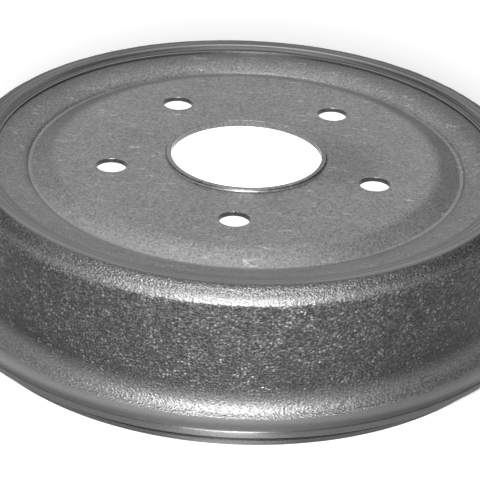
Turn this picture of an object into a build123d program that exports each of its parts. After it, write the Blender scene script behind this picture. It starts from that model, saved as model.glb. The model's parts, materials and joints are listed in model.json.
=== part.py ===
from build123d import *
import os

# Composite brake drum: a cast-iron ring poured around the edge of a pressed-steel web.
# It rests on its open end with the wheel face up. The origin is on the axis, in the plane
# of the open end, and one stud hole lies on -Y. All sizes are in millimetres.

# Sizes of the steel web
face_height = 66.1              # open end to wheel face
web_thickness = 2.0
pilot_diameter = 63.0
pilot_edge_rise = 1.3           # drawn edge of the pilot bore, above the wheel face
pilot_edge_break = 0.4
pilot_foot_break = 0.6          # wheel face into the drawn edge
pilot_lead_break = 1.0          # hub side of the pilot bore
stud_circle = 114.3
stud_count = 5
stud_hole_diameter = 12.5
stud_edge_break = 0.4
dish_width = 9.5                # wheel face to the floor of the dish
dish_depth = 4.1
dish_bend_radius = 8.0
dish_floor_width = 1.4
die_step_width = 0.8            # crisp step that the die leaves outside the dish
die_step_rise = 0.8
crown_width = 13.4              # die step to seam
crown_seam_width = 6.8          # nearly level outer part of the crown
crown_fall = 0.4
crown_radius = 26.0

# Sizes of the iron ring
braking_diameter = 228.6
seam_inset = 9.3                # braking surface in to the visible seam
steel_edge_cover = 6.0          # steel that lies in the iron
seam_step = 0.6                 # blunt iron edge that stands on the steel
seam_edge_break = 0.25
turned_slope_width = 4.3
turned_slope_rise = 1.6
cast_step_rise = 0.3            # turned slope up to the cast skin
cast_step_width = 0.25
shoulder_rise = 2.3             # wheel face to the top of the shoulder
shoulder_width = 4.0            # outer wall in to the level top
shoulder_radius = 3.0           # level top into the sloping shoulder
steep_width = 1.3               # outer, steeper part of the shoulder
steep_height = 3.0
wall_height = 61.7              # open end to the top of the outer wall
wall_thickness = 4.7
wall_draft = 0.5
flange_reach = 9.5              # outer wall to flange
flange_band = 3.0
flange_edge_break = 0.4
lip_height = 9.0                # open end to flange
lip_thickness = 5.7
lip_root_break = 1.2
lip_edge_break = 0.6
mouth_chamfer = 1.2
runout_depth = 0.6              # tool run-out above the braking surface
runout_height = 2.5
nose_height = 5.0               # iron under the edge of the steel
nose_draft = 1.0
nose_slope = 2.5
nose_break = 1.2

# Radii and heights that follow from the sizes
pilot_r = pilot_diameter / 2
pilot_edge_r = pilot_r + web_thickness
stud_hole_r = stud_hole_diameter / 2
braking_r = braking_diameter / 2
seam_r = braking_r - seam_inset
steel_edge_r = seam_r + steel_edge_cover
crown_r = seam_r - crown_seam_width
die_step_r = seam_r - crown_width
dish_floor_r = die_step_r - die_step_width
dish_foot_r = dish_floor_r - dish_floor_width
flat_r = dish_foot_r - dish_width
slope_r = seam_r + turned_slope_width
wall_top_r = braking_r + wall_thickness
wall_foot_r = wall_top_r + wall_draft
flange_r = wall_foot_r + flange_reach
flare_radius = flange_reach - flange_edge_break
lip_r = braking_r + lip_thickness
runout_r = braking_r + runout_depth
nose_r = seam_r + nose_draft

steel_under = face_height - web_thickness
pilot_edge_top = face_height + pilot_edge_rise
dish_floor_top = face_height - dish_depth
dish_floor_under = dish_floor_top - web_thickness
die_step_top = dish_floor_top + die_step_rise
crown_top = face_height - crown_fall
crown_under = crown_top - web_thickness
seam_top = face_height + seam_step
slope_top = face_height + turned_slope_rise
shoulder_top = face_height + shoulder_rise
steep_top = wall_height + steep_height
flange_top = lip_height + flange_band
nose_foot = steel_under - nose_height
runout_top = nose_foot - nose_slope
braking_top = runout_top - runout_height

os.makedirs("parts", exist_ok=True)


def outline(corners):
    """Closes a section through its corners, each given as a point and its rounding."""
    points = [point for point, rounding in corners]
    roundings = [rounding for point, rounding in corners]
    return FilletPolyline(*points, radius=roundings, close=True)


# Steel web: the top side from the pilot bore out, then the under side back in
steel_section = [
    ((pilot_edge_r + pilot_foot_break, face_height), 0),
    ((flat_r, face_height), dish_bend_radius + web_thickness),
    ((dish_foot_r, dish_floor_top), 0),
    ((dish_floor_r, dish_floor_top), 0),
    ((die_step_r, die_step_top), 0),
    ((crown_r, crown_top), crown_radius + web_thickness),
    ((seam_r, face_height), 0),
    ((steel_edge_r, face_height), 0),
    ((steel_edge_r, steel_under), 0),
    ((seam_r, steel_under), 0),
    ((crown_r, crown_under), crown_radius),
    ((dish_floor_r, dish_floor_under), 0),
    ((dish_foot_r, dish_floor_under), 0),
    ((flat_r, steel_under), dish_bend_radius),
    ((pilot_r + pilot_lead_break, steel_under), 0),
    ((pilot_r, steel_under + pilot_lead_break), 0),
    ((pilot_r, pilot_edge_top - pilot_edge_break), 0),
    ((pilot_r + pilot_edge_break, pilot_edge_top), 0),
    ((pilot_edge_r - pilot_edge_break, pilot_edge_top), 0),
    ((pilot_edge_r, pilot_edge_top - pilot_edge_break), 0),
    ((pilot_edge_r, face_height + pilot_foot_break), 0),
]
with BuildPart() as steel_web:
    with BuildSketch(Plane.XZ):
        with BuildLine():
            outline(steel_section)
        make_face()
    revolve(axis=Axis.Z)
    with PolarLocations(stud_circle / 2, stud_count, start_angle=-90):
        Hole(stud_hole_r)
    circles = steel_web.edges().filter_by(GeomType.CIRCLE)
    stud_circles = circles.filter_by(lambda edge: abs(edge.radius - stud_hole_r) < stud_edge_break / 10)
    chamfer(stud_circles.group_by(Axis.Z)[-1], stud_edge_break)
steel_web.part.label = "steel_web"
export_step(steel_web.part, "parts/steel_web.step")

# Iron ring: seam, shoulder, outer wall, flange and lip, then the bore back up to the seam
iron_section = [
    ((seam_r, seam_top - seam_edge_break), 0),
    ((seam_r + seam_edge_break, seam_top), 0),
    ((slope_r, slope_top), 0),
    ((slope_r + cast_step_width, slope_top + cast_step_rise), 0),
    ((wall_top_r - shoulder_width, shoulder_top), shoulder_radius),
    ((wall_top_r - steep_width, steep_top), 0),
    ((wall_top_r, wall_height), 0),
    ((wall_foot_r, flange_top), flare_radius),
    ((flange_r - flange_edge_break, flange_top), 0),
    ((flange_r, flange_top - flange_edge_break), 0),
    ((flange_r, lip_height + flange_edge_break), 0),
    ((flange_r - flange_edge_break, lip_height), 0),
    ((lip_r + lip_root_break, lip_height), 0),
    ((lip_r, lip_height - lip_root_break), 0),
    ((lip_r, lip_edge_break), 0),
    ((lip_r - lip_edge_break, 0), 0),
    ((braking_r + mouth_chamfer, 0), 0),
    ((braking_r, mouth_chamfer), 0),
    ((braking_r, braking_top), 0),
    ((runout_r, braking_top + runout_depth), 0),
    ((runout_r, runout_top), 0),
    ((nose_r + nose_break, nose_foot), 0),
    ((nose_r, nose_foot + nose_break), 0),
    ((seam_r, steel_under), 0),
]
with BuildPart() as iron_ring:
    with BuildSketch(Plane.XZ):
        with BuildLine():
            outline(iron_section)
        make_face()
    revolve(axis=Axis.Z)
    add(steel_web.part, mode=Mode.SUBTRACT)
iron_ring.part.label = "iron_ring"
export_step(iron_ring.part, "parts/iron_ring.step")
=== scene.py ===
# %% [markdown]
# # A composite brake drum
#
# This lesson dresses a measured part. The drum was first drawn to size as two solids: a pressed
# steel web, and the iron ring that was cast around its edge. Here both get the surface that the
# real metal has. The file runs from top to bottom, each step says what the real piece is like
# before it is made, and every length is in metres.

# %% Load the measured solids
import json
import math

import bmesh
import bpy
from mathutils import Matrix, Vector

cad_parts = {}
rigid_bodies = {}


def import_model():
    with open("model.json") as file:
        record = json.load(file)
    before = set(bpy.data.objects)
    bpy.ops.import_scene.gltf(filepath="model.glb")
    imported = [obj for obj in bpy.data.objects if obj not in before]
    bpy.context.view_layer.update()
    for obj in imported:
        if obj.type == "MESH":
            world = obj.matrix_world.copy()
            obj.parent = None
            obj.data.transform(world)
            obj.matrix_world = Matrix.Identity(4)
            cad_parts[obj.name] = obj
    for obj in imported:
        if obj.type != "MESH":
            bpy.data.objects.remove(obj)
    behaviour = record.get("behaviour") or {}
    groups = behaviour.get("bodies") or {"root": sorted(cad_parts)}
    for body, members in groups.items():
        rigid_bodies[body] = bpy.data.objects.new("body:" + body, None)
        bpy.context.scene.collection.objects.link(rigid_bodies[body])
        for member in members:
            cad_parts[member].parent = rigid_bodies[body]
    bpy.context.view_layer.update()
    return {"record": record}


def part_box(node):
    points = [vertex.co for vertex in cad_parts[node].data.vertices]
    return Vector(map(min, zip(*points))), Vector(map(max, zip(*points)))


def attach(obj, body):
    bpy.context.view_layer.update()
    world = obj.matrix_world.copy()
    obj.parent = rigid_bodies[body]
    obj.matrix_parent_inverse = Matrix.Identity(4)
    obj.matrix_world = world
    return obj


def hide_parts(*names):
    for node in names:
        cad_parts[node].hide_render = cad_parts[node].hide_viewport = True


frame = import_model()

ring_low, ring_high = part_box("iron_ring")
web_low, web_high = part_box("steel_web")

# %% [markdown]
# ## Sizes that the pieces share
#
# The record of the part states its working faces: the pilot bore, the stud holes, the two faces
# that the wheel and the hub press on, and the bore that the shoes press on. Reading them from
# there keeps the dressed pieces on the solids. Only small forms that the record doesn't state,
# such as the dish and the edges, are named here again.

# %% Read the working sizes
mm = 0.001
mounts = {mount["name"]: mount for mount in frame["record"]["mounts"]}


def radius_of(name, key="r_mm"):
    """A radius that the record states for a mount."""
    return mounts[name]["dims"][key] * mm


def height_of(name):
    """The height of a mount above the open end."""
    return mounts[name]["pos_m"][2]


pilot_r = radius_of("pilot_bore")
stud_hole_r = radius_of("stud_holes", "hole_r_mm")
stud_circle_r = radius_of("stud_holes", "pcd_mm") / 2
stud_count = mounts["stud_holes"]["dims"]["count"]
braking_r = radius_of("braking_surface")
face_z = height_of("wheel_face")
under_z = height_of("hub_face")
sheet = face_z - under_z
flange_r = min(ring_high.x, ring_high.y, -ring_low.x, -ring_low.y)
steel_edge_r = web_high.x
print(f"pilot bore {pilot_r / mm:.1f}, braking surface {braking_r / mm:.1f}, flange {flange_r / mm:.1f} mm")

# %% [markdown]
# ## Camera
#
# The photograph was taken from in front, about 26 degrees above the wheel face, with a long lens
# that was tilted a little. The camera is set up the same way: it is turned around the drum from
# the stud hole that lies nearest, raised, then aimed down at the face and rolled.

# %% Set up the camera
camera_reach = 1.0578
camera_elevation = math.radians(26.364)
camera_turn = math.radians(3.633)
aim_turn = math.radians(3.700)
aim_down = math.radians(28.278)
aim_roll = math.radians(2.464)

camera = bpy.data.objects.new("camera", bpy.data.cameras.new("camera"))
bpy.context.scene.collection.objects.link(camera)
bpy.context.scene.camera = camera
camera.data.sensor_width = 36.0
camera.data.lens = 189.98
camera.data.clip_start = 0.01
camera_flat = camera_reach * math.cos(camera_elevation)
camera_rise = camera_reach * math.sin(camera_elevation)
camera_x = math.sin(camera_turn) * camera_flat
camera_y = -math.cos(camera_turn) * camera_flat
camera_place = Vector((camera_x, camera_y, face_z + camera_rise))
heading = Matrix.Rotation(aim_turn, 4, "Z")
pitch = Matrix.Rotation(math.pi / 2 - aim_down, 4, "X")
roll = Matrix.Rotation(aim_roll, 4, "Z")
camera.matrix_world = Matrix.Translation(camera_place) @ heading @ pitch @ roll
print("camera at", [round(x, 4) for x in camera_place])

# %% [markdown]
# ## Floor and studio light
#
# The drum stands on white card. A metal surface shows its surroundings more than its own colour,
# so the light is laid out by what the drum should mirror. In the photograph the bright bands on
# the shoulder and the flare lie where these face a light close to the camera, and the glint on
# the flange is short. So one narrow soft box hangs beside the camera, and the room, which metal
# mirrors too, does the rest.

# %% Lay the floor
floor_reach = 3.0


def start_clean():
    """Deselects everything, so that an operator acts only on what is made next."""
    if bpy.context.object and bpy.context.object.mode != "OBJECT":
        bpy.ops.object.mode_set(mode="OBJECT")
    bpy.ops.object.select_all(action="DESELECT")


start_clean()
bpy.ops.mesh.primitive_plane_add(size=2 * floor_reach, location=(0, 0, 0))
floor = bpy.context.object
floor.name = "floor"
print("floor", tuple(floor.dimensions))

# %% [markdown]
# The photograph was cut out, so its holes show plain white too. In a real drum they would show
# the shaded braking surface. A white card cup therefore stands inside the drum, a little smaller
# than the braking surface and lower than the iron under the web. It belongs to the stage.

# %% Set a white cup inside the drum
cup_r = braking_r - 2.0 * mm
cup_rise = 52.0 * mm
start_clean()
bpy.ops.mesh.primitive_circle_add(vertices=96, radius=cup_r, fill_type="NGON", location=(0, 0, 0.2 * mm))
cup = bpy.context.object
cup.name = "cup"
bpy.ops.object.mode_set(mode="EDIT")
bpy.ops.mesh.select_all(action="SELECT")
bpy.ops.mesh.region_to_loop()
bpy.ops.mesh.extrude_region_move(TRANSFORM_OT_translate={"value": (0, 0, cup_rise)})
bpy.ops.object.mode_set(mode="OBJECT")
print("cup", tuple(cup.dimensions))

# %% Hang the soft box beside the camera
box_reach = 1.25
box_elevation = math.radians(28)
box_turn = math.radians(1.8)
box_size = (0.11, 0.25)
box_light = 1.60

light = bpy.data.lights.new("key_box", "AREA")
light.shape = "RECTANGLE"
light.size, light.size_y = box_size
light.energy = box_light * (math.pi * box_reach) ** 2
key_box = bpy.data.objects.new("key_box", light)
box_turned = Matrix.Rotation(box_turn, 4, "Z") @ Matrix.Rotation(math.pi / 2 - box_elevation, 4, "X")
box_centre = Matrix.Translation((0, 0, face_z / 2))
key_box.matrix_world = box_centre @ box_turned @ Matrix.Translation((0, 0, box_reach))
key_box.visible_camera = False
bpy.context.scene.collection.objects.link(key_box)
print("soft box at", [round(x, 2) for x in key_box.matrix_world.translation], f"with {light.energy:.1f} W")

# %% [markdown]
# ## A small language for surfaces
#
# A finish is arithmetic on patterns: grain plus mottling, kept to the part of the surface where
# it belongs. Shader nodes do that arithmetic, but long chains of them are hard to read. So one
# class wraps a node's output and lets it be added and multiplied like a number, and one method
# adds any other node.

# %% Write surfaces as expressions


class Shade:
    """One output of a shader node. Arithmetic on it adds Math nodes."""

    def __init__(self, sheet_of_nodes, socket):
        self.nodes = sheet_of_nodes
        self.socket = socket

    def maths(self, operation, *values):
        return self.nodes.add("ShaderNodeMath", {"operation": operation}, dict(enumerate(values)))

    def __add__(self, other):
        return self.maths("ADD", self, other)

    def __sub__(self, other):
        return self.maths("SUBTRACT", self, other)

    def __rsub__(self, other):
        return self.maths("SUBTRACT", other, self)

    def __mul__(self, other):
        return self.maths("MULTIPLY", self, other)

    def __truediv__(self, other):
        return self.maths("DIVIDE", self, other)

    __radd__ = __add__
    __rmul__ = __mul__

    def absolute(self):
        return self.maths("ABSOLUTE", self)

    def power(self, exponent):
        return self.maths("POWER", self, exponent)

    def clamp(self):
        return self.nodes.add("ShaderNodeClamp", {}, {"Value": self})


class Surface:
    """The nodes of a material or of the world, added one by one."""

    def __init__(self, owner, output="ShaderNodeOutputMaterial"):
        owner.use_nodes = True
        self.owner = owner
        self.tree = owner.node_tree
        self.tree.nodes.clear()
        self.output = self.tree.nodes.new(output)

    def add(self, kind, settings, inputs, output=0):
        """Adds a node: first its settings, then the values or links of its sockets."""
        node = self.tree.nodes.new(kind)
        for key, value in settings.items():
            setattr(node, key, value)
        for key, value in inputs.items():
            if isinstance(value, Shade):
                self.tree.links.new(value.socket, node.inputs[key])
            else:
                node.inputs[key].default_value = value
        return Shade(self, node.outputs[output])

    def finish(self, shader):
        self.tree.links.new(shader.socket, self.output.inputs["Surface"])
        return self.owner

    def place(self):
        """The object's own coordinates, which stay with the metal when it moves."""
        return self.add("ShaderNodeTexCoord", {}, {}, "Object")

    def axes(self, vector):
        """The three coordinates of a place, each as a number."""
        node = self.add("ShaderNodeSeparateXYZ", {}, {"Vector": vector}).socket.node
        return [Shade(self, node.outputs[axis]) for axis in "XYZ"]

    def reach(self, x, y):
        """How far a place lies from the drum's axis."""
        return (x * x + y * y).power(0.5)

    def vector(self, x, y, z):
        return self.add("ShaderNodeCombineXYZ", {}, {"X": x, "Y": y, "Z": z})

    def turned(self, vector, turn=(0, 0, 0), scale=(1, 1, 1)):
        """A place turned and stretched, to lay a pattern along a direction."""
        return self.add("ShaderNodeMapping", {}, {"Vector": vector, "Rotation": turn, "Scale": scale})

    def noise(self, vector, size, detail=2.0, roughness=0.5):
        """Soft random mottling. The size is the length of one patch."""
        inputs = {"Vector": vector, "Scale": 1 / size, "Detail": detail, "Roughness": roughness}
        return self.add("ShaderNodeTexNoise", {}, inputs)

    def grains(self, vector, size):
        """Scattered grains: the distance to the nearest one, and a number of its own from 0 to 1."""
        node = self.add("ShaderNodeTexVoronoi", {}, {"Vector": vector, "Scale": 1 / size}).socket.node
        return Shade(self, node.outputs["Distance"]), self.axes(Shade(self, node.outputs["Color"]))[0]

    def ramp(self, value, low, high):
        """Rises smoothly from 0 to 1 as the value goes from low to high."""
        settings = {"interpolation_type": "SMOOTHSTEP"}
        return self.add("ShaderNodeMapRange", settings, {"Value": value, "From Min": low, "From Max": high})

    def step(self, value, at, soft):
        """Rises from 0 to 1 where the value passes a mark, with a soft edge on both sides of it."""
        return self.ramp(value, at - soft, at + soft)

    def between(self, value, rise, fall):
        """1 between two marks. Each is given as the two values where its soft edge starts and ends."""
        return self.ramp(value, *rise) * (1 - self.ramp(value, *fall))

    def blend(self, share, first, second):
        """Goes from the first number to the second as the share goes from 0 to 1."""
        return first + (second - first) * share

    def grey(self, value):
        return self.add("ShaderNodeCombineColor", {}, {"Red": value, "Green": value, "Blue": value})

    def bump(self, height, depth, normal=None):
        """Turns a height from 0 to 1 into relief of that depth in metres."""
        inputs = {"Height": height, "Distance": depth, "Strength": 1.0}
        if normal is not None:
            inputs["Normal"] = normal
        return self.add("ShaderNodeBump", {}, inputs)

    def metal(self, tone, rough, relief, more=None):
        """Bare metal of a grey tone. What else it takes is given by the names of its sockets."""
        inputs = {"Base Color": self.grey(tone.clamp()), "Roughness": rough.clamp()}
        inputs |= {"Metallic": 1.0, "Normal": relief} | (more or {})
        return self.add("ShaderNodeBsdfPrincipled", {}, inputs, "BSDF")


print("surfaces are written as expressions")

# %% [markdown]
# The floor is white card. For the camera, and for what the metal mirrors, a little light of its
# own brings it up to the white of the photograph, more of it further out where less light falls,
# and the drum still lays its soft shadow on it. The room is white to the camera. Metal mirrors it
# graded, brighter overhead and dimmer low down and to the sides, as a room with its lamps in the
# ceiling is, and as light it is dimmer all over, so that colours come out as they are written.

# %% Finish the floor, the cup and the room
floor_white = 0.82
glow_near = 0.30
glow_far = 1.0
floor_glow_reach = 1.0
room_low = 0.47
room_rise = 1.08
room_right = 0.50
room_left = 0.22
room_light = 0.30


def ray(nodes, *names):
    """1 for rays of the named kinds, and else 0."""
    node = nodes.add("ShaderNodeLightPath", {}, {}).socket.node
    return sum((Shade(nodes, node.outputs[name]) for name in names), 0).clamp()


def white_card(name, near, far):
    nodes = Surface(bpy.data.materials.new(name))
    x, y, _ = nodes.axes(nodes.place())
    glow = nodes.blend(nodes.ramp(nodes.reach(x, y), 0.0, floor_glow_reach), near, far)
    seen = ray(nodes, "Is Camera Ray", "Is Glossy Ray", "Is Transmission Ray")
    white = (floor_white, floor_white, floor_white, 1)
    matt = nodes.add("ShaderNodeBsdfDiffuse", {}, {"Color": white}, "BSDF")
    own_light = nodes.add("ShaderNodeEmission", {}, {"Color": nodes.grey(seen * glow), "Strength": 1.0})
    return nodes.finish(nodes.add("ShaderNodeAddShader", {}, {0: matt, 1: own_light}))


floor.data.materials.append(white_card("floor_card", glow_near, glow_far))
cup.data.materials.append(white_card("cup_card", 1.0, 1.0))


def room():
    world = bpy.data.worlds.new("room")
    bpy.context.scene.world = world
    nodes = Surface(world, "ShaderNodeOutputWorld")
    x, _, z = nodes.axes(nodes.add("ShaderNodeTexCoord", {}, {}, "Generated"))
    graded = (room_low + z.clamp() * room_rise) * (1 - nodes.ramp(x, 0.0, 0.45) * room_right)
    graded = graded * (1 - nodes.ramp(0 - x, 0.0, 0.6) * room_left)
    level = graded * nodes.blend(ray(nodes, "Is Glossy Ray", "Is Transmission Ray"), room_light, 1.0)
    level = nodes.blend(ray(nodes, "Is Camera Ray"), level, 1.0)
    nodes.finish(nodes.add("ShaderNodeBackground", {}, {"Color": nodes.grey(level), "Strength": 1.0}))


room()
print("the room lights at", room_light)

# %% [markdown]
# ## Turning a section
#
# Both pieces are round, so both start as half a section: one corner point after another is
# extruded in edit mode, the corners that the real metal rounds are bevelled, and the closed
# outline is spun around the axis. That is close to how a pattern maker and a lathe give the real
# drum its form, and it keeps every measured radius and height exact.

# %% Draw and spin sections


def choose(mesh, wanted):
    """Selects in edit mode only the points that a test on their place picks."""
    bpy.ops.mesh.select_all(action="DESELECT")
    points = bmesh.from_edit_mesh(mesh)
    for vert in points.verts:
        vert.select = wanted(vert.co)
    points.select_flush(True)
    bmesh.update_edit_mesh(mesh)


def bend_of(corners, index):
    """How far the outline turns at a corner, in radians."""
    here = Vector(corners[index][:2])
    before = here - Vector(corners[index - 1][:2])
    after = Vector(corners[(index + 1) % len(corners)][:2]) - here
    return before.angle(after)


def draw_outline(name, corners, arc_step):
    """Extrudes a closed outline from point to point and rounds its corners.
    A corner is its radius from the axis, its height and its rounding."""
    start_clean()
    first_r, first_z, _ = corners[0]
    bpy.ops.mesh.primitive_plane_add(size=mm, location=(0, 0, 0))
    piece = bpy.context.object
    piece.name = piece.data.name = name
    bpy.ops.object.mode_set(mode="EDIT")
    bpy.ops.mesh.merge(type="CENTER")
    bpy.ops.transform.translate(value=(first_r, 0, first_z))
    for (r, z, _), (next_r, next_z, _) in zip(corners, corners[1:]):
        step = {"value": (next_r - r, 0, next_z - z)}
        bpy.ops.mesh.extrude_region_move(TRANSFORM_OT_translate=step)
    ends = [Vector((r, 0, z)) for r, z, _ in (corners[0], corners[-1])]
    choose(piece.data, lambda place: min((place - end).length for end in ends) < mm / 100)
    bpy.ops.mesh.edge_face_add()
    for index, (r, z, rounding) in enumerate(corners):
        if rounding:
            corner = Vector((r, 0, z))
            choose(piece.data, lambda place: (place - corner).length < mm / 100)
            bend = bend_of(corners, index)
            reach = rounding * math.tan(bend / 2)
            segments = max(2, round(rounding * bend / arc_step))
            bpy.ops.mesh.bevel(offset=reach, offset_type="OFFSET", segments=segments, affect="VERTICES")
    return piece


def smooth(piece):
    """Shades curves smooth and keeps large flat faces flat up to their edges."""
    bpy.ops.object.shade_smooth_by_angle(angle=math.radians(28))
    bpy.ops.object.modifier_add(type="WEIGHTED_NORMAL")
    weigh = piece.modifiers[-1]
    weigh.keep_sharp = True
    bpy.ops.object.modifier_apply(modifier=weigh.name)


def spin_outline(piece, steps):
    """Turns the outline around the axis and closes the seam where the turn ends."""
    bpy.ops.object.mode_set(mode="OBJECT")
    bpy.ops.object.modifier_add(type="SCREW")
    turn = piece.modifiers[-1]
    turn.axis = "Z"
    turn.steps = turn.render_steps = steps
    turn.use_merge_vertices = True
    turn.merge_threshold = mm / 200
    bpy.ops.object.modifier_apply(modifier=turn.name)
    bpy.ops.object.mode_set(mode="EDIT")
    bpy.ops.mesh.select_all(action="SELECT")
    bpy.ops.mesh.remove_doubles(threshold=mm / 200)
    bpy.ops.mesh.normals_make_consistent(inside=False)
    bpy.ops.object.mode_set(mode="OBJECT")
    smooth(piece)
    print(piece.name, len(piece.data.polygons), "faces")


print("outlines are drawn, rounded and spun")

# %% [markdown]
# ## The pressed-steel web
#
# The web is 2 mm sheet, drawn in a press: flat where wheel and hub clamp it, with a collar drawn
# up around the pilot bore, a dish near the rim, and a crisp step where the die ended. Its edge
# disappears into the iron, towards which the sheet falls a little and forms a shallow valley. The
# outline runs along the top side from the collar out, around the buried edge, and back along the
# under side.

# %% Sizes of the web
edge_cover = 6.0 * mm
seam_dip = 0.15 * mm
crown_width = 13.4 * mm
crown_level_width = 6.8 * mm
crown_bend = 26.0 * mm
die_step_width = 0.8 * mm
die_step_rise = 0.8 * mm
dish_floor_width = 1.4 * mm
dish_width = 9.5 * mm
dish_bend = 8.0 * mm

collar_r = pilot_r + sheet
collar_rise = web_high.z - face_z
seam_r = steel_edge_r - edge_cover
crown_r = seam_r - crown_level_width
crown_z = face_z
die_step_r = seam_r - crown_width
dish_floor_r = die_step_r - die_step_width
dish_foot_r = dish_floor_r - dish_floor_width
flat_r = dish_foot_r - dish_width
dish_under_z = web_low.z
dish_floor_z = dish_under_z + sheet
die_step_z = dish_floor_z + die_step_rise
print(f"dish floor {(face_z - dish_floor_z) / mm:.1f} mm deep, seam at {seam_r / mm:.1f} mm")

# %% Draw and spin the web
web_outline = [
    (collar_r, face_z, 0.7 * mm),
    (flat_r, face_z, dish_bend + sheet),
    (dish_foot_r, dish_floor_z, 1.0 * mm),
    (dish_floor_r, dish_floor_z, 0),
    (die_step_r, die_step_z, 0.3 * mm),
    (crown_r, crown_z, crown_bend + sheet),
    (seam_r, face_z - seam_dip, 0),
    (steel_edge_r, face_z - seam_dip, 0),
    (steel_edge_r, under_z, 0),
    (seam_r, under_z, 0),
    (crown_r, crown_z - sheet, crown_bend),
    (dish_floor_r, dish_under_z, 2.5 * mm),
    (dish_foot_r, dish_under_z, 2.5 * mm),
    (flat_r, under_z, dish_bend),
    (pilot_r, under_z, 1.0 * mm),
    (pilot_r, face_z + collar_rise, 0.4 * mm),
    (collar_r, face_z + collar_rise, 0.4 * mm),
]
web = draw_outline("pressed_web", web_outline, 0.25 * mm)
spin_outline(web, 360)

# %% [markdown]
# The stud holes are punched. A cylinder cuts each one, as the punch does, and the upper edge is
# broken a little, because the photograph shows a thin light ring around every hole. One hole lies
# nearest to the camera, and the others follow at even turns.

# %% Punch the stud holes
stud_edge_break = 0.35 * mm
first_hole = math.radians(-90)
hole_turns = [first_hole + hole * math.tau / stud_count for hole in range(stud_count)]
hole_centres = [stud_circle_r * Vector((math.cos(turn), math.sin(turn))) for turn in hole_turns]

start_clean()
for centre in hole_centres:
    place = (centre.x, centre.y, face_z - sheet / 2)
    bpy.ops.mesh.primitive_cylinder_add(vertices=64, radius=stud_hole_r, depth=3 * sheet, location=place)
    bpy.context.object.name = "punch"
bpy.ops.object.select_pattern(pattern="punch*", extend=False)
bpy.ops.object.join()
punch = bpy.context.object
start_clean()
bpy.context.view_layer.objects.active = web
web.select_set(True)
bpy.ops.object.modifier_add(type="BOOLEAN")
cut = web.modifiers[-1]
cut.operation = "DIFFERENCE"
cut.solver = "MANIFOLD"
cut.object = punch
bpy.ops.object.modifier_apply(modifier=cut.name)
bpy.data.objects.remove(punch)
# The cut leaves an empty material slot behind, and the web's own finish comes later.
web.data.materials.clear()


def on_hole_rim(place):
    """Whether a point lies on the upper rim of a stud hole."""
    near = min((Vector(place[:2]) - centre).length for centre in hole_centres)
    return abs(near - stud_hole_r) < mm / 20 and abs(place.z - face_z) < mm / 50


bpy.ops.object.mode_set(mode="EDIT")
choose(web.data, on_hole_rim)
bpy.ops.mesh.bevel(offset=stud_edge_break, segments=3, affect="EDGES")
bpy.ops.object.mode_set(mode="OBJECT")
smooth(web)
print("web with holes:", len(web.data.polygons), "faces")

# %% [markdown]
# ## The cast-iron ring
#
# The ring is sand-cast: shoulder, outer wall and flare keep the skin that the sand left. The lathe
# then cleans the slope beside the seam, the flange, the lip and, inside, the braking surface. The
# outline runs from the seam over the shoulder, down the wall, around flange and lip, and up the
# bore to the slot that holds the steel.

# %% Sizes of the ring
seam_step = 0.6 * mm
slope_width = 4.3 * mm
slope_rise = 1.6 * mm
cast_step_width = 0.25 * mm
cast_step_rise = 0.3 * mm
shoulder_rise = 2.3 * mm
shoulder_width = 4.0 * mm
steep_width = 1.3 * mm
steep_height = 3.0 * mm
wall_z = 61.7 * mm
wall_thickness = 4.7 * mm
wall_draft = 0.5 * mm
flange_band = 3.0 * mm
flange_break = 0.4 * mm
lip_z = 9.0 * mm
lip_thickness = 5.7 * mm
lip_break = 0.6 * mm
mouth_break = 1.2 * mm
braking_top_z = 54.1 * mm
runout_depth = 0.6 * mm
runout_z = 56.6 * mm
nose_z = 59.1 * mm
nose_draft = 1.0 * mm

seam_z = face_z + seam_step
slope_r = seam_r + slope_width
slope_z = face_z + slope_rise
cast_step_r = slope_r + cast_step_width
cast_step_z = slope_z + cast_step_rise
shoulder_z = face_z + shoulder_rise
wall_top_r = braking_r + wall_thickness
wall_foot_r = wall_top_r + wall_draft
level_r = wall_top_r - shoulder_width
steep_r = wall_top_r - steep_width
steep_z = wall_z + steep_height
flange_z = lip_z + flange_band
flare_bend = flange_r - flange_break - wall_foot_r
lip_r = braking_r + lip_thickness
runout_r = braking_r + runout_depth
nose_r = seam_r + nose_draft
print(f"outer wall {wall_top_r / mm:.1f} mm, flange from {lip_z / mm:.1f} to {flange_z / mm:.1f} mm up")

# %% Draw the ring's outline
ring_outline = [
    (seam_r, seam_z, 0.25 * mm),
    (slope_r, slope_z, 0),
    (cast_step_r, cast_step_z, 0.2 * mm),
    (level_r, shoulder_z, 3.0 * mm),
    (steep_r, steep_z, 3.0 * mm),
    (wall_top_r, wall_z, 1.0 * mm),
    (wall_foot_r, flange_z, flare_bend),
    (flange_r - flange_break, flange_z, 0.15 * mm),
    (flange_r, flange_z - flange_break, 0.15 * mm),
    (flange_r, lip_z + flange_break, 0.15 * mm),
    (flange_r - flange_break, lip_z, 0.15 * mm),
    (lip_r, lip_z, 1.2 * mm),
    (lip_r, lip_break, 0.2 * mm),
    (lip_r - lip_break, 0, 0.2 * mm),
    (braking_r + mouth_break, 0, 0.2 * mm),
    (braking_r, mouth_break, 0.2 * mm),
    (braking_r, braking_top_z, 0),
    (runout_r, braking_top_z + runout_depth, 0),
    (runout_r, runout_z, 1.5 * mm),
    (nose_r, nose_z, 1.5 * mm),
    (seam_r, under_z, 0),
    (steel_edge_r, under_z, 0),
    (steel_edge_r, face_z - seam_dip, 0),
    (seam_r, face_z - seam_dip, 0),
]
ring = draw_outline("cast_ring", ring_outline, 1.0 * mm)

# %% [markdown]
# The skin needs points to move, about one per millimetre, while the bore doesn't. So only the long
# straight stretches of the outline that carry cast skin are cut up before the spin.

# %% Cut up the cast stretches and spin
skin_step = 1.0 * mm


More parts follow.
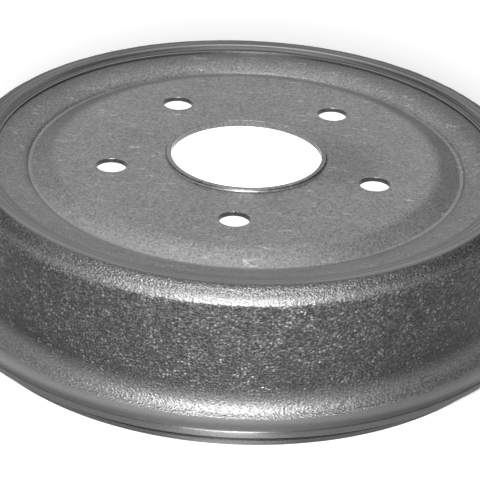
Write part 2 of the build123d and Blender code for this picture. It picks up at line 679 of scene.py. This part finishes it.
def cut_up(piece, start, end):
    """Divides the straight stretch between two points of the outline into short steps."""
    along = end - start
    points = bmesh.from_edit_mesh(piece.data)
    for edge in points.edges:
        middle = (edge.verts[0].co + edge.verts[1].co) / 2
        share = (middle - start).dot(along) / along.length_squared
        off = (middle - start - along * share).length
        edge.select = 0 < share < 1 and off < mm / 50 and edge.calc_length() > 2 * skin_step
    points.select_flush(False)
    bmesh.update_edit_mesh(piece.data)
    chosen = [edge.calc_length() for edge in bmesh.from_edit_mesh(piece.data).edges if edge.select]
    bpy.ops.mesh.subdivide(number_cuts=round(max(chosen) / skin_step) - 1)


level_ends = [Vector((cast_step_r, 0, cast_step_z)), Vector((level_r, 0, shoulder_z))]
wall_ends = [Vector((wall_top_r, 0, wall_z)), Vector((wall_foot_r, 0, flange_z))]
for start, end in (level_ends, wall_ends):
    bpy.ops.mesh.select_all(action="DESELECT")
    cut_up(ring, start, end)
spin_outline(ring, 720)

# %% [markdown]
# Sand leaves a skin that is uneven at every scale. What is large enough to feel with a thumb is
# moved in the mesh, by two displacements that read cloudy patterns and only ever push the skin in,
# so that the ring stays inside its measured size. What is smaller than the mesh's step is left to
# the material.

# %% Roughen the cast skin
swell_size = 9.0 * mm
swell_depth = 0.22 * mm
pit_size = 2.6 * mm
pit_depth = 0.16 * mm
cast_from_r = level_r - 1.4 * mm
flange_top_turned_r = braking_r + 8.2 * mm
outside_r = braking_r + 2 * mm


def skin_share(place):
    """1 where the casting keeps its skin, 0 where the lathe went, and a soft edge between."""
    out = math.hypot(place.x, place.y)
    if place.z > face_z:
        return min(max((out - cast_from_r) / (1.0 * mm), 0), 1)
    if out < outside_r or place.z < flange_z:
        return 0
    return min(max((flange_top_turned_r - out) / (1.0 * mm), 0), 1)


skin = ring.vertex_groups.new(name="cast_skin")
for vert in ring.data.vertices:
    share = skin_share(vert.co)
    if share:
        skin.add([vert.index], share, "REPLACE")

for name, size, depth in (("swell", swell_size, swell_depth), ("pits", pit_size, pit_depth)):
    cloud = bpy.data.textures.new(name, "CLOUDS")
    cloud.noise_scale = size
    cloud.noise_depth = 1
    bpy.ops.object.modifier_add(type="DISPLACE")
    press = ring.modifiers[-1]
    press.texture = cloud
    press.texture_coords = "LOCAL"
    press.vertex_group = "cast_skin"
    press.mid_level = 1.0
    press.strength = depth
    bpy.ops.object.modifier_apply(modifier=press.name)
print("skin points:", sum(1 for vert in ring.data.vertices if skin_share(vert.co) == 1))

# %% [markdown]
# ## Finish of the pressed steel
#
# The web is bare sheet with a faint grain from the rolls. It has been handled: fine scratches run
# in a few directions and catch the light, and there are cloudy patches of oil, with the darkest
# one to the right of the bore. The valley beside the seam is painted darker, a painted shade that
# is stronger on the far side, and the near side of the dish is painted lighter, a painted highlight.
# The walls of the stud holes are painted dark, a painted shade. A picture wrapped around the web
# could carry such marks, but it would blur close up. So each mark is a mask from 0 to 1, worked
# out from places and patterns.

# %% Find the marks on the web
near_y = -60 * mm
far_y = 50 * mm
# Painted shade in the valley beside the seam, stronger on the far side.
valley_shade_near = 0.14
valley_shade_far = 0.50
valley_shade_width = 14 * mm
stain_x = 40 * mm
stain_reach = (6 * mm, 24 * mm)
stain_wander = 20 * mm
# Painted highlight: the near side of the dish is lighter.
near_highlight_rise = (80 * mm, 88 * mm)
near_highlight_fall = (94 * mm, 99 * mm)
near_highlight_reach = (55 * mm, 85 * mm)
holes_rise = (45 * mm, 46 * mm)
holes_fall = (67 * mm, 68 * mm)
scratch_width = 0.035
scratch_patch = 2.2
scratch_patch_edge = (0.61, 0.71)
scratch_sets = [(12, 7 * mm, 1.6 * mm), (74, 6 * mm, 1.3 * mm), (140, 9 * mm, 1.9 * mm)]


def scratches(nodes, place):
    """Thin lines in sets, broken up into patches. A set has a turn, a length and a spacing."""
    found = 0
    for turn, length, spacing in scratch_sets:
        stretch = (1 / length, 1 / spacing, 1 / spacing)
        laid = nodes.turned(place, (0, 0, math.radians(turn)), stretch)
        off_line = (nodes.noise(laid, 1.0, 0.0) - 0.5).absolute()
        patch = nodes.ramp(nodes.noise(laid, scratch_patch, 1.0), *scratch_patch_edge)
        found = found + (1 - nodes.ramp(off_line, 0.0, scratch_width)) * patch
    return found.clamp()


def valley_shade(nodes, y, out):
    """The share of its tone that the metal loses in the valley beside the seam: painted shade, stronger on
    the far side.
    """
    share = nodes.blend(nodes.ramp(y, near_y, far_y), valley_shade_near, valley_shade_far)
    return nodes.ramp(out, seam_r - valley_shade_width, seam_r - 1 * mm) * share


def near_dish_highlight(nodes, x, y, out):
    """Painted highlight on the near side of the dish and of the crown's foot."""
    return nodes.between(out, near_highlight_rise, near_highlight_fall) * nodes.ramp(0 - y - x * 0.35, *near_highlight_reach)


def hole_wall_shade(nodes, z, out):
    """Painted shade on the walls of the stud holes."""
    wall = nodes.between(face_z - z, (0.04 * mm, 0.3 * mm), (sheet - 0.2 * mm, sheet))
    return wall * nodes.between(out, holes_rise, holes_fall)


def stain(nodes, x, y, cloud):
    """The oily patch to the right of the bore, with a cloudy edge."""
    off = x - stain_x
    gap = (off * off + y * y * 0.5).power(0.5) + (cloud - 0.5) * stain_wander
    return 1 - nodes.ramp(gap, *stain_reach)


# The grime and rubbing named here are painted shade in the valley and a painted highlight on the dish.
print("the web is marked by", len(scratch_sets), "sets of scratches, grime, rubbing and a stain")

# %% [markdown]
# The finish adds the marks to one grey. Grain and clouds vary tone and roughness together, because
# oil and the rolls' grain change both. The relief is only hundredths of a millimetre deep, enough
# to break up what the metal mirrors.

# %% Finish the web
steel_grey = 0.24
steel_rough = 0.38
steel_grain_size = 0.9 * mm
steel_cloud_size = 20 * mm
steel_relief = 0.02 * mm
grain_tone = 0.55
cloud_tone = 0.09
scratch_tone = 0.24
near_highlight_tone = 0.06
hole_wall_shade_loss = 0.7
stain_loss = 0.22
grain_rough = 0.10
cloud_rough = 0.16
scratch_rough = 0.10


def pressed_steel():
    nodes = Surface(bpy.data.materials.new("pressed_steel"))
    place = nodes.place()
    x, y, z = nodes.axes(place)
    out = nodes.reach(x, y)
    grain = nodes.noise(place, steel_grain_size, 3.0, 0.65)
    cloud = nodes.noise(place, steel_cloud_size, 4.0, 0.6)
    scratch = scratches(nodes, place)
    tone = steel_grey + (cloud - 0.5) * cloud_tone + (grain - 0.5) * grain_tone + scratch * scratch_tone
    # Painted highlight on the near side of the dish, and painted shade in the valley beside the seam.
    tone = (tone + near_dish_highlight(nodes, x, y, out) * near_highlight_tone) * (1 - valley_shade(nodes, y, out))
    # Painted shade on the walls of the stud holes.
    tone = tone * (1 - hole_wall_shade(nodes, z, out) * hole_wall_shade_loss)
    tone = tone * (1 - stain(nodes, x, y, cloud) * stain_loss)
    rough = steel_rough + (cloud - 0.5) * cloud_rough + (grain - 0.5) * grain_rough
    rough = rough - scratch * scratch_rough
    relief = nodes.bump(grain * 0.7 - scratch * 0.5, steel_relief)
    return nodes.finish(nodes.metal(tone, rough, relief))


web.data.materials.append(pressed_steel())
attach(web, "root")
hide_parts("steel_web")
print("web finished in", web.data.materials[0].name)

# %% [markdown]
# ## Finish of the iron
#
# Two finishes share one casting: the dark, sandy skin that the mould left, and the lighter, smooth
# iron that the lathe cut. Tone, roughness and relief of both read the same few patterns: sand,
# clouds of it, single grains that stand proud and glint, the fine lines of the lathe, and the
# broader streaks that run around the rim. They are laid out along the ring, so that they follow
# it all the way round.

# %% Lay out the patterns of the ring
sand_size = 0.75 * mm
sand_cloud_size = 7 * mm
iron_grain_size = 1.1 * mm
line_size = 8 * mm
ragged_reach = 3 * mm


class Iron(Surface):
    """The ring's material, with the places and patterns that its finish reads."""

    def __init__(self):
        super().__init__(bpy.data.materials.new("cast_iron"))
        place = self.place()
        self.x, self.y, self.z = self.axes(place)
        self.out = self.reach(self.x, self.y)
        around = self.x.maths("ARCTAN2", self.x, 0 - self.y) * wall_foot_r
        laid = self.vector(around / 1.25, self.out, self.z)
        self.sand = self.noise(laid, sand_size, 3.0, 0.6)
        self.clouds = self.ramp(self.noise(place, sand_cloud_size, 3.0, 0.6), 0.36, 0.64)
        gap, self.chance = self.grains(laid, iron_grain_size)
        self.tips = 1 - self.ramp(gap, 0.0, 0.62)
        self.lathe = self.noise(self.vector(self.out * 60, self.z * 60, 0.0), line_size, 2.0, 0.7)
        long_way = self.vector(around.absolute() / 10, self.out * 7, self.z * 7)
        self.streaks = self.noise(long_way, line_size, 2.0, 0.6)
        self.ragged = (self.sand - 0.5) * ragged_reach
        self.top = self.ramp(self.z, face_z - 8 * mm, face_z - 7 * mm)


print("patterns of", sand_size / mm, "and", iron_grain_size / mm, "mm")

# %% [markdown]
# The lathe cleaned the slope beside the seam, the flange and the lip. Between them the skin stayed,
# and handling has worn it to bare metal along the shoulder and in the flare. On the shoulder this
# lighter band is also a painted highlight: it is strongest at the front and weaker at the sides.
# Masks worked out from the distance to the axis and the height tell these stretches apart. The
# pattern of the sand shifts their edges, because no worn edge is a clean line.

# %% Tell the stretches of the ring apart
flare_worn_z = (18 * mm, 27 * mm)
# The painted shade under the flange starts this high on the lip.
under_flange_shade_z = 2.3 * mm


def find_skin(iron):
    """1 on cast skin, and 0 where the lathe went."""
    high = iron.step(iron.out + iron.ragged * 0.4, cast_from_r, 0.6 * mm) * iron.top
    side = iron.ramp(iron.z, flange_z - 0.1 * mm, flange_z)
    side = side * iron.ramp(iron.out, outside_r, outside_r + 0.5 * mm)
    side = side * (1 - iron.step(iron.out + iron.ragged, flange_top_turned_r, 0.7 * mm))
    return (high + side).clamp()


def find_worn_and_highlight(iron):
    """1 where the skin is worn to bare metal; on the shoulder also a painted highlight, strongest at the
    front.
    """
    level = iron.z + iron.ragged * 0.5
    shoulder = iron.ramp(level + iron.ragged, wall_z - 1.2 * mm, wall_z + 1.0 * mm)
    shoulder = shoulder * (1 - iron.ramp(level, steep_z - 1.2 * mm, steep_z + 0.8 * mm) * 0.5)
    # Painted highlight: the shoulder's band is weaker at the sides, strongest at the front.
    at_sides = iron.ramp(iron.x.absolute() + iron.y * 0.6, -10 * mm, 60 * mm)
    at_sides = at_sides * (1 - iron.ramp(iron.y, 0.0, 40 * mm))
    flare = 1 - iron.ramp(level, *flare_worn_z)
    return (shoulder * (1 - at_sides * 0.6) + flare).clamp()


def find_band(iron):
    """1 on the edge of the flange."""
    return iron.ramp(iron.out, flange_r - 0.7 * mm, flange_r - 0.4 * mm)


def find_lip(iron):
    """1 below the flange."""
    return 1 - iron.ramp(iron.z, lip_z - 0.3 * mm, lip_z - 0.1 * mm)


def find_under_flange_shade(iron):
    """1 on the lip above a line low on it, under the flange: painted shade."""
    outside = iron.ramp(iron.out, outside_r - 1 * mm, outside_r)
    return find_lip(iron) * iron.step(iron.z, under_flange_shade_z, 0.3 * mm) * outside


print("worn flare from", [round(z / mm) for z in flare_worn_z], "mm down")

# %% [markdown]
# Turned iron is light where it is clean. The slope beside the seam is painted lighter on the near
# side and darker towards the back, a painted shade that is weaker at the very back. Its blunt edge
# at the seam is painted darker at the back than at the sides, and a painted highlight marks the
# crest where the slope ends, on the far side. Cast skin is dark, its grains are lighter, and its
# worn parts lie between.

# %% Give every stretch its tone
skin_grey = 0.06
grain_grey = 0.24
# Worn metal, and on the shoulder's front also a painted highlight.
worn_highlight_grey = 0.19
# Painted light and shade on the slope: lighter near, darker far, less dark at the very back.
slope_near_lit_grey = 0.20
slope_far_shaded_grey = 0.085
slope_back_shaded_grey = 0.15
rim_far_shaded_grey = 0.15
edge_back_shaded_grey = 0.15
edge_side_grey = 0.24
# Painted light: the flange's top is lighter towards its edge.
flange_in_grey = 0.22
flange_edge_lit_grey = 0.42
band_grey = 0.14
lip_grey = 0.12
under_flange_shade_grey = 0.045
streak_tone = 0.34
# Painted highlight along the crest of the slope on the far side.
crest_highlight_tone = 0.14
lathe_tone = 0.05
sand_tone = 0.12
worn_sand_tone = 0.42
cast_share = 0.99
# Painted shade: the skin is darker at the sides, and its worn parts on the right.
side_shade_loss = 0.27
right_shade_loss = 0.16


def slope_tone_and_shade(iron):
    """The turned slope, from the blunt edge at the seam out to the crest, with painted light and shade:
    lighter near, darker far, a painted highlight on the far crest.
    """
    off_back = iron.ramp(iron.x.absolute(), 10 * mm, 60 * mm)
    valley = iron.blend(off_back, slope_back_shaded_grey, slope_far_shaded_grey)
    valley = iron.blend(iron.step(iron.out, slope_r, 0.6 * mm), valley, rim_far_shaded_grey)
    tone = iron.blend(iron.ramp(iron.y, near_y, far_y), slope_near_lit_grey, valley)
    # Painted shade: the blunt edge is darker at the back than at the sides.
    blunt_edge = iron.blend(off_back, edge_back_shaded_grey, edge_side_grey)
    tone = iron.blend(iron.ramp(iron.out, seam_r + 0.2 * mm, seam_r + 0.6 * mm), blunt_edge, tone)
    crest_from = (slope_r - 0.5 * mm, slope_r)
    crest_to = (slope_r + 0.3 * mm, slope_r + 0.8 * mm)
    crest = iron.between(iron.out, crest_from, crest_to) * iron.ramp(iron.y, 0.0, 60 * mm)
    return tone + (iron.streaks - 0.5) * streak_tone + (iron.lathe - 0.5) * lathe_tone + crest * crest_highlight_tone


def turned_tone(iron):
    """All that the lathe cut. The flange's top is painted lighter towards its edge, a painted light where
    it mirrors the dark wall.
    """
    outward = iron.ramp(iron.out, flange_top_turned_r, flange_r)
    # Painted light on the flange's top, lighter towards its edge.
    tone = iron.blend(outward, flange_in_grey, flange_edge_lit_grey)
    tone = iron.blend(iron.top, tone, slope_tone_and_shade(iron))
    tone = iron.blend(find_band(iron), tone, band_grey)
    tone = iron.blend(find_lip(iron), tone, lip_grey)
    # Painted shade on the lip under the flange.
    tone = iron.blend(find_under_flange_shade(iron), tone, under_flange_shade_grey)
    return tone + (iron.lathe - 0.5) * lathe_tone + (iron.sand - 0.5) * sand_tone


def cast_tone(iron, bright, worn):
    """The skin with its bright grains, painted darker at the sides, and its worn parts, painted darker on
    the right: painted shade.
    """
    tone = iron.blend(bright, skin_grey + (iron.sand - 0.5) * sand_tone, grain_grey)
    # Painted shade at the sides, and on the worn parts to the right.
    tone = tone * (cast_share - iron.ramp(iron.x.absolute(), 45 * mm, 100 * mm) * side_shade_loss)
    worn_tone_right_shade = worn_highlight_grey * (1 - iron.ramp(iron.x, 20 * mm, 90 * mm) * right_shade_loss)
    return iron.blend(worn, tone, worn_tone_right_shade + (iron.sand - 0.5) * worn_sand_tone)


print("skin", skin_grey, "grains", grain_grey, "worn", worn_highlight_grey)

# %% [markdown]
# On the flange's edge and on the lip, the lathe's lines draw a lamp's reflection out into an
# upright glint. A second metal with a strong grain direction does that there, and the plain one
# covers the rest. The skin's relief is half a millimetre deep, and the lathe's lines a tenth of it.

# %% Finish the ring
skin_relief = 0.5 * mm
lathe_relief = 0.05 * mm
line_pull = {"Anisotropic": 0.98, "Anisotropic Rotation": 0.25}
turned_rough = 0.40
lined_rough = 0.35
skin_rough = 0.48
tip_rough = 0.36
worn_rough = 0.46
lathe_rough = 0.12
sand_rough = 0.16
tip_rarity = 3.5
tip_share = 2.8
bright_sand = (0.44, 0.78)


def cast_iron():
    iron = Iron()
    skin = find_skin(iron)
    worn = find_worn_and_highlight(iron)
    lined = (find_band(iron) + find_lip(iron)).clamp()
    bright = iron.tips * iron.chance.power(tip_rarity) * iron.clouds * tip_share
    bright = bright + iron.ramp(iron.sand, *bright_sand) * iron.blend(iron.clouds, 0.42, 0.68)
    bright = bright.clamp()
    tone = iron.blend(skin, turned_tone(iron), cast_tone(iron, bright, worn))
    on_turned = iron.blend(lined, turned_rough, lined_rough) + (iron.lathe - 0.5) * lathe_rough
    on_cast = iron.blend(worn, iron.blend(bright, skin_rough, tip_rough), worn_rough)
    rough = iron.blend(skin, on_turned, on_cast + (iron.sand - 0.5) * sand_rough)
    grit = (iron.sand + iron.tips * 0.3) * skin * iron.blend(worn, 1.0, 0.55)
    lines = iron.lathe * (1 - skin) * iron.blend(lined, 0.4, 1.0)
    relief = iron.bump(lines, lathe_relief, iron.bump(grit, skin_relief))
    plain = iron.metal(tone, rough, relief)
    drawn = iron.metal(tone, rough, relief, line_pull)
    return iron.finish(iron.add("ShaderNodeMixShader", {}, {0: lined, 1: plain, 2: drawn}, "Shader"))


ring.data.materials.append(cast_iron())
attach(ring, "root")
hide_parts("iron_ring")
print("ring finished in", ring.data.materials[0].name)

# %% [markdown]
# ## The view
#
# The picture is shown as it is calculated, with no film look.

# %% Set the view
bpy.context.scene.view_settings.view_transform = "Standard"
